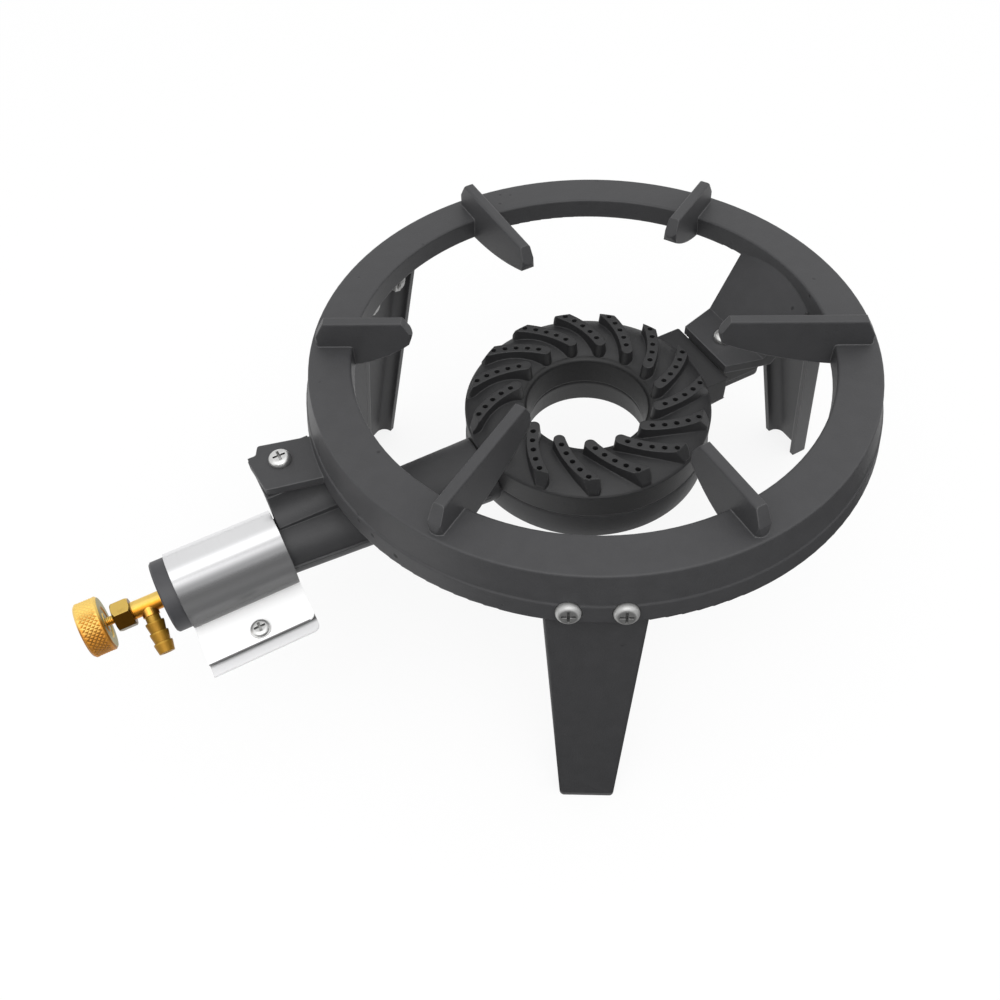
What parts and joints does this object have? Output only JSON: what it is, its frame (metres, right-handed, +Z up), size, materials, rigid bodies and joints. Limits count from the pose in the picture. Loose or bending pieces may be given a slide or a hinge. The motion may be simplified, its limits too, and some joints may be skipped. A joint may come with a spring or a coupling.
{
  "type": "outdoor gas burner",
  "caption": "Cast iron gas ring on splayed legs, with pot fingers, a round burner with swept ribs of flame ports, a mixing tube with a clamped air sleeve and a brass needle valve.",
  "frame": {"origin": "centre of the bounding box in plan, at the floor that the legs stand on", "axes": "+X from the valve's knob towards the rear leg, along the mixing tube; +Z up, along the ring's axis"},
  "size_m": [0.4726, 0.326, 0.1893],
  "materials": {
    "cast_iron": "satin, as cast",
    "zinc_steel": "zinc plated",
    "sheet_steel": "bright, brushed round",
    "black_steel": "satin black",
    "brass": "turned, bright",
    "packing": "matt"
  },
  "bodies": {
    "burner": {"ring_frame": "cast_iron", "leg_rear": "cast_iron", "leg_left": "cast_iron", "leg_right": "cast_iron", "leg_screws": "zinc_steel", "leg_washers": "zinc_steel", "leg_nuts": "zinc_steel", "burner_cap": "cast_iron", "burner_bowl": "cast_iron", "ear_screw": "zinc_steel", "ear_nut": "zinc_steel", "bracket_screw": "zinc_steel", "bracket_nut": "zinc_steel", "air_sleeve": "sheet_steel", "clamp_screw": "zinc_steel", "clamp_nut": "zinc_steel", "end_disc": "black_steel", "valve_body": "brass", "hose_nozzle": "brass", "valve_locknut": "brass", "injector_jet": "brass", "packing_nut": "brass", "gland_packing": "packing"},
    "stem": {"valve_stem": "brass"},
    "knob": {"knob": "brass", "knob_screw": "zinc_steel"}
  },
  "joints": [
    {"name": "stem_travel", "type": "slide", "parent": "burner", "child": "stem", "axis": [-1, 0, 0], "range_m": [0, 0.0019]},
    {"name": "knob_turn", "type": "hinge", "parent": "stem", "child": "knob", "pos_m": [-0.23028, 0, 0.1152], "axis": [-1, 0, 0], "range_deg": [0, 540]}
  ],
  "couplings": [
    {"joint": "stem_travel", "follows": "knob_turn", "m_per_rad": 0.00019894}
  ]
}
